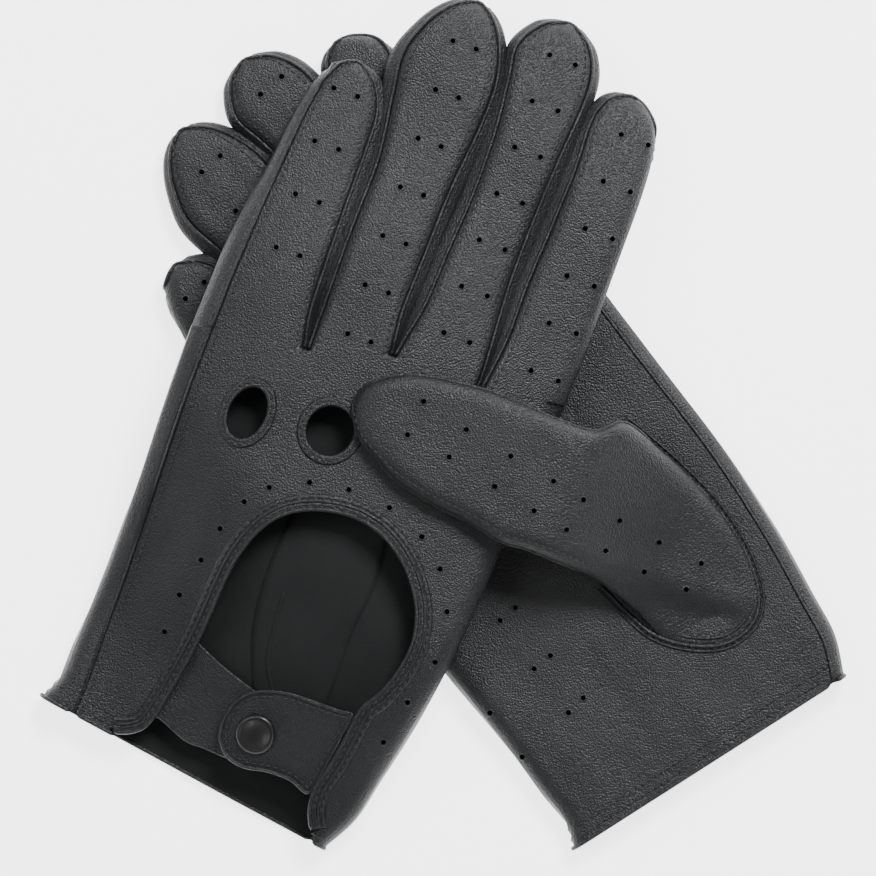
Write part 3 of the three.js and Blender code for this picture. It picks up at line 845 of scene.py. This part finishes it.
    def surface(self) -> BVHTree:
        """The panel as a tree for finding heights."""
        return BVHTree.FromBMesh(self.bm)

    def cut(self, outline: Sequence[Pt]) -> None:
        """Takes away the faces inside an outline, from the panel's outer side only."""
        gone = [f for f in self.bm.faces if outside(outline, *f.calc_center_median()[:2]) == 0.0]
        bmesh.ops.delete(self.bm, geom=gone, context="FACES")


@dataclass
class Surface:
    """Heights on one side of a glove."""
    tree: BVHTree
    face: Face

    def drop(self, x: float, y: float, lift: float = 0.0) -> Vector:
        """The point of the surface at x and y, lifted off it.

        Args:
            x: across the glove.
            y: along the glove.
            lift: distance off the surface.

        Returns:
            The point.
        """
        s = self.face.value
        hit = self.tree.ray_cast(Vector((x, y, 60.0 * s)), Vector((0, 0, -s)))[0]
        z = hit.z if hit else THICKNESS / 2 + s * (THICKNESS / 2 - 0.4)
        return Vector((x, y, z + s * lift))

    def covers(self, x: float, y: float) -> bool:
        """Whether there is leather at x and y, with room round it."""
        s = self.face.value
        down = Vector((0, 0, -s))
        return all(self.tree.ray_cast(Vector((x + d, y, 60.0 * s)), down)[0] for d in (-1.6, 1.6))


def band(surface: Surface, inner: Sequence[Pt], outer: Sequence[Pt], lift: float,
         closed: bool = True) -> bmesh.types.BMesh:
    """A raised, softly rounded strip of leather between two outlines.

    Args:
        surface: what it lies on.
        inner: its inner outline.
        outer: its outer outline, point for point.
        lift: its height.
        closed: whether it runs all round.

    Returns:
        The mesh.
    """
    bm = bmesh.new()
    rows = []
    for t, h in RIM_SECTION:
        spots = [(mix(a[0], b[0], t), mix(a[1], b[1], t)) for a, b in zip(inner, outer)]
        rows.append([bm.verts.new(surface.drop(x, y, h * lift)) for x, y in spots])
    grid(bm, rows, closed)
    return bm


def plate(outline: Sequence[Pt], height: Callable[[float, float], float],
          thick: float) -> bmesh.types.BMesh:
    """A flat piece of leather with soft edges.

    Args:
        outline: its edge.
        height: the height of its lower side at a point.
        thick: its thickness.

    Returns:
        The mesh.
    """
    bm = bmesh.new()
    cx = sum(p[0] for p in outline) / len(outline)
    cy = sum(p[1] for p in outline) / len(outline)
    rows = []
    for t, h in PLATE_SECTION:
        if t == 0.0:
            rows.append([bm.verts.new((cx, cy, height(cx, cy) + h * thick))] * len(outline))
            continue
        spots = [(mix(cx, x, t), mix(cy, y, t)) for x, y in outline]
        rows.append([bm.verts.new((x, y, height(x, y) + h * thick)) for x, y in spots])
    grid(bm, rows, True)
    return bm


def lathe(points: Sequence[Pt], height: Callable[[float, float], float]) -> bmesh.types.BMesh:
    """A round piece at the snap's centre, from radii and heights.

    Args:
        points: radii and heights of its section.
        height: what to add to the height at a point.

    Returns:
        The mesh.
    """
    bm = bmesh.new()
    verts = [bm.verts.new((r, 0, z)) for r, z in points]
    edges = [bm.edges.new(pair) for pair in zip(verts, verts[1:])]
    bmesh.ops.spin(bm, geom=verts + edges, cent=(0, 0, 0), axis=(0, 0, 1), angle=2 * math.pi, steps=48)
    bmesh.ops.remove_doubles(bm, verts=bm.verts, dist=0.001)
    for v in bm.verts:
        v.co.x += SNAP[0]
        v.co.y += SNAP[1]
        v.co.z += height(v.co.x, v.co.y)
    return bm


@dataclass
class GloveBuilder:
    """Builds every visible piece of one glove."""
    glove: Glove

    def name(self, part: str) -> str:
        """A piece's name with its side."""
        return f"{self.glove.side}_{part}_skin"

    def node(self, *parts: str) -> list[str]:
        """The names of this glove's nodes."""
        return [f"{self.glove.side}_{p}" for p in parts]

    @property
    def body(self) -> str:
        """The body of the glove itself."""
        return f"{self.glove.side}_glove"

    def build(self) -> None:
        """Makes the panels, walls, seams, openings, strap, snap and thumb."""
        back = Panel(self.glove, Face.BACK).build()
        palm = Panel(self.glove, Face.PALM).build()
        back_top = Surface(back.surface(), Face.BACK)
        palm_top = Surface(palm.surface(), Face.PALM)
        window = rounded(WINDOW, 1.4, closed=False)
        back.cut(grown([(-23.0, -12.0), *WINDOW, (39.0, -12.0)], 1.6))
        for _, x, y, rx, ry in KNUCKLES:
            back.cut(self.ellipse(x, y, rx + 1.0, ry + 1.0))
        self.seams(back, palm, back_top, palm_top)
        self.walls(back, palm)
        self.fingertips(back, palm)
        self.openings(back_top, window)
        self.lining()
        self.strap()
        self.perforations(back_top, palm_top)
        self.thumb(palm_top)
        for panel, part, parts in ((back, "back", ("back",)), (palm, "palm", ("palm", "thumb_base"))):
            publish(panel.bm, self.name(part), self.glove, "leather", self.body, self.node(*parts),
                    LEATHER * 0.9)

    def ellipse(self, x: float, y: float, rx: float, ry: float, count: int = 40) -> list[Pt]:
        """Points of an ellipse.

        Args:
            x: centre.
            y: centre.
            rx: half width.
            ry: half height.
            count: number of points.

        Returns:
            The points.
        """
        turns = [2 * math.pi * i / count for i in range(count)]
        return [(x + rx * math.cos(a), y + ry * math.sin(a)) for a in turns]

    def seams(self, back: Panel, palm: Panel, back_top: Surface, palm_top: Surface) -> None:
        """Rolled seam edges and their stitches along the fingers, sides and hems.

        Args:
            back: the back leather.
            palm: the palm leather.
            back_top: heights of the back.
            palm_top: heights of the palm.
        """
        welts, thread = bmesh.new(), bmesh.new()
        for panel, s in ((back, 1), (palm, -1)):
            lift = Vector((0, 0, 0.18 * s))
            for key in FINGERS:
                add_tube(welts, [p + lift for p in panel.seams[key]], 0.5)
                line = panel.inner[key]
                if key == "index":
                    line = line[:66]
                if key == "little" and s < 0:
                    line = line[-66:]
                add_stitches(thread, [p + lift * 0.7 for p in line])
        add_tube(welts, [p + Vector((0, 0, 0.1)) for p in back.seams["left"][1:]], 0.42)
        add_tube(welts, [p - Vector((0, 0, 0.1)) for p in palm.seams["right"][1:]], 0.42)
        add_stitches(thread, [p + Vector((0, 0, 0.15)) for p in back.inner["left"]])
        left, right = HAND[0][0], HAND[0][1]
        for surface, spans in ((back_top, ((0.02, 0.30), (0.92, 0.985))), (palm_top, ((0.02, 0.98),))):
            s = surface.face.value
            for a, b in spans:
                a, b = a + 0.015, b - 0.015
                steps = max(4, int((b - a) * 70))
                for up in (1.6, 4.2):
                    shares = [a + (b - a) * i / steps for i in range(steps + 1)]
                    line = [surface.drop(mix(left[0], right[0], t), mix(left[1], right[1], t) + up + 0.4,
                                         0.16) for t in shares]
                    add_stitches(thread, line)
        hems = [(palm, 0, len(palm.seams["hem"]) - 1)]
        edge = back.seams["hem"]
        first = next(i for i, p in enumerate(edge) if p.x > -20.5)
        final = next(i for i, p in enumerate(edge) if p.x > 38.5)
        hems += [(back, 0, first), (back, final, len(edge) - 1)]
        for panel, i, j in hems:
            s = panel.face.value
            add_tube(welts, [p - Vector((0, 0, 0.42 * s)) for p in panel.seams["hem"][i + 1:j]], 0.62)
        publish(welts, self.name("seam_welts"), self.glove, "leather", self.body)
        publish(thread, self.name("seam_thread"), self.glove, "thread", self.body)

    def walls(self, back: Panel, palm: Panel) -> None:
        """The three forked strips between the fingers, from back seam to palm seam.

        Args:
            back: the back leather.
            palm: the palm leather.
        """
        names, n = list(FINGERS), 5
        for a, b in zip(names, names[1:]):
            bm = bmesh.new()
            for name, first in ((a, False), (b, True)):
                tops, lows = back.seams[name], palm.seams[name]
                tops = tops[:FINGER_ROWS - 3] if first else list(reversed(tops))[:FINGER_ROWS - 3]
                lows = lows[:FINGER_ROWS - 3] if first else list(reversed(lows))[:FINGER_ROWS - 3]
                out = -1.0 if first else 1.0
                rows = []
                for t, l in zip(tops, lows):
                    row = []
                    for i in range(n + 1):
                        f = i / n
                        p = t.lerp(l, f)
                        p.x += out * (WALL + self.fill(p.y)) * math.sin(math.pi * f) ** 0.7
                        row.append(bm.verts.new(p))
                    rows.append(row)
                grid(bm, rows)
                if first:
                    for i in range(n):
                        bm.faces.new((other[i], other[i + 1], rows[0][i + 1], rows[0][i]))
                else:
                    other = rows[0]
            part = f"fourchette_{a}_{b}"
            publish(bm, self.name(part), self.glove, "leather", self.body, self.node(part))

    def fingertips(self, back: Panel, palm: Panel) -> None:
        """Closes the finger tips between the back and the palm leather.

        Args:
            back: the back leather.
            palm: the palm leather.
        """
        bm, start = bmesh.new(), TIP_START
        for name in FINGERS:
            ends = zip(back.seams[name][start:-start], palm.seams[name][start:-start])
            grid(bm, [[bm.verts.new(t.lerp(low, i / 3)) for i in range(4)] for t, low in ends])
        publish(bm, self.name("fingertips"), self.glove, "leather", self.body)

    @staticmethod
    def fill(y: float) -> float:
        """Extra fullness of the forked strips, so neighbouring fingers touch along their middles."""
        return 1.3 * smooth(126, 150, y) * smooth(212, 190, y)

    def lining(self) -> None:
        """The inner tongue of the palm that shows through the window, with its two raised edges."""
        left, right = rounded(TONGUE_LEFT, 1.4, closed=False), rounded(TONGUE_RIGHT, 1.4, closed=False)
        count = min(len(left), len(right))
        left, right = ([line[i * (len(line) - 1) // (count - 1)] for i in range(count)]
                       for line in (left, right))
        bm = bmesh.new()
        rows = []
        for t, z in TONGUE_SECTION:
            spots = [(mix(a[0], b[0], t), mix(a[1], b[1], t), LEATHER + z + 0.25 * relief(*a, t * 4))
                     for a, b in zip(left, right)]
            rows.append([bm.verts.new(spot) for spot in spots])
        grid(bm, rows)
        publish(bm, self.name("palm_tongue"), self.glove, "suede", self.body)

    def openings(self, top: Surface, window: list[Pt]) -> None:
        """Turned and stitched edges of the wrist window and the knuckle holes.

        Args:
            top: heights of the back.
            window: outline of the wrist window.
        """
        thread = bmesh.new()
        rim = band(top, window, grown_open(window, -4.6), 0.75, closed=False)
        publish(rim, self.name("window_rim"), self.glove, "leather", self.body, self.node("window_facing"))
        edges, grooves = bmesh.new(), bmesh.new()
        for away, radius in ((0.35, 0.62), (2.55, 0.5)):
            add_tube(edges, [top.drop(x, y, 0.42) for x, y in grown_open(window, -away)], radius)
        for away in (1.5, 3.5):
            add_tube(grooves, [top.drop(x, y, 0.44) for x, y in grown_open(window, -away)], 0.3)
            line = [top.drop(x, y, 0.66) for x, y in grown_open(window, -away)]
            add_stitches(thread, line[4:-4], 2.2)
        publish(edges, self.name("window_welts"), self.glove, "leather", self.body)
        publish(grooves, self.name("window_grooves"), self.glove, "suede", self.body)
        for name, x, y, rx, ry in KNUCKLES:
            inner = self.ellipse(x, y, rx, ry)
            ring = band(top, inner, self.ellipse(x, y, rx + 2.7, ry + 2.7), 0.6)
            publish(ring, self.name(f"knuckle_rim_{name}"), self.glove, "leather", self.body,
                    self.node(f"knuckle_facing_{name}"))
            points = [top.drop(*p, 0.58) for p in self.ellipse(x, y, rx + 1.5, ry + 1.5)]
            add_stitches(thread, points + points[:1])
        publish(thread, self.name("rim_thread"), self.glove, "thread", self.body)

    def strap(self) -> None:
        """The two tabs of the wrist strap and the four pieces of the snap."""
        side, drop = self.glove.side, self.glove.drop
        moving = f"{side}_strap"

        def even(x: float, y: float) -> float:
            """Turns the glove's curved height under the snap into a flat one.

            Args:
                x: across the glove.
                y: along the glove.

            Returns:
                The height to add.
            """
            h = self.glove.height
            if not self.glove.drapes:
                return 0.0
            gx = (h(SNAP[0] + 4, SNAP[1]) - h(SNAP[0] - 4, SNAP[1])) / 8
            gy = (h(SNAP[0], SNAP[1] + 4) - h(SNAP[0], SNAP[1] - 4)) / 8
            return h(*SNAP) + gx * (x - SNAP[0]) + gy * (y - SNAP[1]) - h(x, y)

        under = rounded(STRAP_UNDER, 1.2)
        over = rounded(STRAP_OVER, 1.2)
        lower = plate(under, lambda x, y: 4.8 - drop + 1.5 * (1 - smooth(-16, -6, x)), 0.85)
        upper = plate(over, lambda x, y: 8.05 - drop, 0.9)
        publish(lower, self.name("underlap"), self.glove, "leather", self.body, self.node("strap_underlap"))
        publish(upper, self.name("overlap"), self.glove, "leather", moving, self.node("strap_overlap"))
        thread = bmesh.new()
        line = [Vector((x, y, 9.1 - drop)) for x, y in grown(over, -1.9)]
        add_stitches(thread, [p for p in line if p.x < 33.6])
        publish(thread, self.name("strap_thread"), self.glove, "thread", moving)
        welt = bmesh.new()
        rolled = [Vector((x, y, 8.95 - drop)) for x, y in grown(over, -0.5)]
        add_tube(welt, [p for p in rolled if p.x < 34.6], 0.5)
        publish(welt, self.name("strap_welt"), self.glove, "leather", moving)
        rings = {
            "snap_cap": ("lacquer", moving, CAP_SECTION),
            "snap_socket": ("metal", moving, SOCKET_SECTION),
            "snap_stud": ("metal", self.body, STUD_SECTION),
            "snap_post": ("metal", self.body, POST_SECTION),
        }
        for key, (finish, body, points) in rings.items():
            ring = lathe([(r, z - drop) for r, z in points], even)
            publish(ring, self.name(key), self.glove, finish, body, self.node(key))

    def perforations(self, back: Surface, palm: Surface) -> None:
        """Small punched holes in pairs along the fingers and round the window.

        Args:
            back: heights of the back.
            palm: heights of the palm.
        """
        holes, rims = bmesh.new(), bmesh.new()
        spots = [(back, p) for p in BACK_HOLES] + [(palm, p) for p in PALM_HOLES]
        for first, final, gap, count in PAIRS.values():
            d = Vector((final[0] - first[0], final[1] - first[1])).normalized()
            for i in range(count):
                x, y = mix(first[0], final[0], i / (count - 1)), mix(first[1], final[1], i / (count - 1))
                for w in (-0.5, 0.5):
                    spot = (x + w * gap * d.y, y - w * gap * d.x)
                    spots += [(back, spot), (palm, spot)]
        for surface, (x, y) in spots:
            self.punch(holes, rims, surface, x, y)
        publish(rims, self.name("perforation_rims"), self.glove, "leather", self.body)
        # the dark discs are painted shade for the insides of the punched holes
        publish(holes, self.name("perforations"), self.glove, "hole_shade", self.body)

    def punch(self, holes: bmesh.types.BMesh, rims: bmesh.types.BMesh, surface: Surface, x: float,
              y: float) -> None:
        """One punched hole: a disc of painted shade, standing in for the dark inside of the hole, inside a
        low rim.

        Args:
            holes: mesh of the discs of painted shade.
            rims: mesh of the rims.
            surface: the leather.
            x: centre.
            y: centre.
        """
        if not surface.covers(x, y):
            return
        sides, ring = 12, []
        disc = self.ellipse(x, y, HOLE_RADIUS, HOLE_RADIUS, sides)
        # painted shade: a flat near-black disc just above the leather, in place of a hole that goes through
        holes.faces.new([holes.verts.new(surface.drop(*spot, 0.05)) for spot in disc])
        for r, lift in ((0.66, 0.0), (0.74, 0.12), (0.95, 0.10), (1.25, -0.06)):
            spots = self.ellipse(x, y, r, r, sides)
            ring.append([rims.verts.new(surface.drop(*spot, lift)) for spot in spots])
        grid(rims, ring, True)

    def thumb(self, palm: Surface) -> None:
        """The set-in thumb, from its seam on the palm to its tip, and its seams.

        Args:
            palm: heights of the palm.
        """
        side, g = self.glove.side, self.glove
        thick = FOLDED_THUMB if g.drapes else RAISED_THUMB
        rise = THUMB_RISE if not g.drapes else 0.0
        bm, welts, thread, holes, rims = (bmesh.new() for _ in range(5))
        rows, left_edge, right_edge = [], [], []
        count, n = 96, 36
        stations = [(*s[0], *s[1], s[2]) for s in THUMB]
        for r in range(count + 1):
            q = catmull(stations, r / count * (len(stations) - 1))
            left, right, share = q[:2], q[2:4], max(0.04, min(1.0, q[4]))
            width = math.dist(left, right)
            rad = min(thick / 2 * 1.25, width / 2.05)
            row = []
            for k in range(n):
                a = 2 * math.pi * k / n
                u = 0.5 - 0.5 * math.copysign(abs(math.cos(a)) ** 0.8, math.cos(a))
                x, y = mix(left[0], right[0], u), mix(left[1], right[1], u)
                s = along(x, y)
                base = (THUMB_GAP + rise * smooth(-3, 37, s)) * smooth(-22, 8, s) - 0.55
                half = thick / 2 * share * profile(min(u, 1 - u) * width, rad)
                bump = relief(x * 1.3, y * 1.3, g.seed + 30) * 0.8 * smooth(-10, 10, s) - self.fold(x, y)
                z = -(base + thick / 2 * share) + (half if math.sin(a) < 0 else -half) - bump
                row.append(bm.verts.new((x, y, z)))
            rows.append(row)
            left_edge.append(row[0].co.copy())
            right_edge.append(row[n // 2].co.copy())
        grid(bm, rows, True)
        bm.faces.new(rows[0])
        bm.faces.new(rows[-1])
        surface = Surface(BVHTree.FromBMesh(bm), Face.PALM)
        edge = left_edge[34:] + list(reversed(right_edge[34:]))
        add_tube(welts, edge, 0.45)
        inset = [surface.drop(*row[0].co.lerp(row[n // 2].co, 0.06)[:2], 0.12) for row in rows[32:-3]]
        add_stitches(thread, inset)
        for x, y in THUMB_HOLES:
            self.punch(holes, rims, surface, x, y)
        start, end = (self.fold_point(s) for s in (0.0, 16.0))
        blend = (self.body, f"{side}_thumb", start, end)
        publish(bm, self.name("thumb"), g, "leather", "", self.node("thumb"), blend=blend)
        publish(welts, self.name("thumb_welt"), g, "leather", "", blend=blend)
        publish(thread, self.name("thumb_thread"), g, "thread", "", blend=blend)
        publish(rims, self.name("thumb_perforation_rims"), g, "leather", "", blend=blend)
        # the dark discs are painted shade for the insides of the thumb's punched holes
        publish(holes, self.name("thumb_perforations"), g, "hole_shade", "", blend=blend)
        self.thumb_seam(palm)

    def fold(self, x: float, y: float) -> float:
        """Depth of the leather on the lower side of the fold that runs from the thumb across its base.

        Args:
            x: across the glove.
            y: along the glove.

        Returns:
            The depth in millimetres.
        """
        off = at_height(RIDGE, y) - x
        step = 1.5 * smooth(-1.5, 2.6, off) - 0.55 * smooth(9.0, 1.0, abs(off + 3.0))
        return step * smooth(72, 58, y) * smooth(24, 33, y)

    def fold_point(self, s: float) -> tuple[float, float, float]:
        """A point at distance s past the thumb's fold line, in the row frame.

        Args:
            s: distance past the fold line.

        Returns:
            The point in the row frame, in metres.
        """
        x, y = PIVOT[0] + WAY[0] * s, PIVOT[1] + WAY[1] * s
        p = self.glove.place((x, y, 0.0))
        q = self.glove.place((PIVOT[0], PIVOT[1], 0.0))
        return (p.x, p.y, q.z)

    def thumb_seam(self, palm: Surface) -> None:
        """The set-in seam round the thumb's root: a welt, two stitch lines and its inner edge.

        Args:
            palm: heights of the palm.
        """
        welts, thread, inner = bmesh.new(), bmesh.new(), bmesh.new()
        line = rounded(THUMB_SEAM, 1.4, closed=False)
        for away, radius in ((0.0, 0.62), (2.2, 0.45), (-1.3, 0.4)):
            add_tube(welts, [palm.drop(x, y, 0.12) for x, y in grown_open(line, away)], radius)
        for away in (-0.7, 1.2, 3.4):
            add_stitches(thread, [palm.drop(x, y, 0.14) for x, y in grown_open(line, away)])
        add_tube(inner, [Vector((x, y, LEATHER + 0.5)) for x, y in line], 0.7)
        publish(welts, self.name("thumb_seam_welt"), self.glove, "leather", self.body)
        publish(thread, self.name("thumb_seam_thread"), self.glove, "thread", self.body)
        publish(inner, self.name("thumb_seam_inside"), self.glove, "suede", self.body)


def grown_open(line: Sequence[Pt], by: float) -> list[Pt]:
    """An open line moved sideways by a distance, to its right as it runs.

    Args:
        line: the points.
        by: distance in millimetres.

    Returns:
        The moved points.
    """
    out = []
    for i, (x, y) in enumerate(line):
        (px, py), (nx, ny) = line[max(0, i - 1)], line[min(len(line) - 1, i + 1)]
        d = math.hypot(nx - px, ny - py)
        out.append((x + by * (ny - py) / d, y - by * (nx - px) / d))
    return out


@dataclass(frozen=True)
class Studio:
    """Floor, lights and camera."""
    centre: Pt = (-1.41, -3.72)
    covers: float = 236.5
    distance: float = 2.4
    glow: float = 3.0

    def build(self) -> None:
        """Adds them to the scene."""
        bm = bmesh.new()
        bmesh.ops.create_grid(bm, x_segments=1, y_segments=1, size=3.0)
        mesh = bpy.data.meshes.new("floor")
        bm.to_mesh(mesh)
        bm.free()
        floor = bpy.data.objects.new("floor", mesh)
        bpy.context.scene.collection.objects.link(floor)
        s = Shader("pale_floor")
        tone = s.noise(8.0, 2.0)
        s.bsdf.inputs["Emission Color"].default_value = (1.0, 1.0, 1.0, 1)
        s.bsdf.inputs["Emission Strength"].default_value = self.glow
        pale = s.ramp(tone, (0.90, 0.90, 0.90), (0.93, 0.93, 0.93))
        mesh.materials.append(s.finish(pale, tone * 0.1 + 0.8, tone, 0.0001, 0.1))
        world = bpy.data.worlds.new("studio")
        world.use_nodes = True
        world.node_tree.nodes["Background"].inputs["Color"].default_value = (0.97, 0.98, 1.0, 1)
        world.node_tree.nodes["Background"].inputs["Strength"].default_value = 0.18
        bpy.context.scene.world = world
        self.lamp("key", (0.45, 0.80, 1.05), 0.5, 33.0)
        self.lamp("fill", (-0.9, 0.3, 1.0), 0.8, 8.0)
        self.lamp("rim", (0.3, -1.0, 0.9), 0.8, 5.0)
        data = bpy.data.cameras.new("camera")
        data.type, data.sensor_width = "PERSP", 36.0
        data.lens = 36.0 * self.distance / (self.covers * MM)
        data.clip_start, data.clip_end = 0.05, 20.0
        camera = bpy.data.objects.new("camera", data)
        camera.location = (self.centre[0] * MM, self.centre[1] * MM, self.distance)
        bpy.context.scene.collection.objects.link(camera)
        bpy.context.scene.camera = camera

    def lamp(self, name: str, place: tuple[float, float, float], size: float, power: float) -> None:
        """Adds one area light aimed at the gloves.

        Args:
            name: its name.
            place: where it hangs, in metres.
            size: its width.
            power: in watts.
        """
        data = bpy.data.lights.new(name, "AREA")
        data.size, data.energy = size, power
        lamp = bpy.data.objects.new(name, data)
        lamp.location = place
        lamp.rotation_euler = (-Vector(place)).to_track_quat("-Z", "Y").to_euler()
        bpy.context.scene.collection.objects.link(lamp)


def main() -> None:
    """Builds the pair, its finishes and the studio."""
    logging.basicConfig(level=logging.INFO)
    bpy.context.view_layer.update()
    for key, finish in FINISHES.items():
        MATERIALS[key] = finish.build(key)
    for name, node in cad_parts.items():
        words = (("cap", "lacquer"), ("snap", "metal"), ("facing", "suede"), ("", "leather"))
        key = next(finish for word, finish in words if word in name)
        node.data.materials.clear()
        node.data.materials.append(MATERIALS[key])
    for glove in (RIGHT, LEFT):
        GloveBuilder(glove).build()
        log.info("built the %s glove", glove.side)
    Studio().build()


if __name__ == "__main__":
    main()
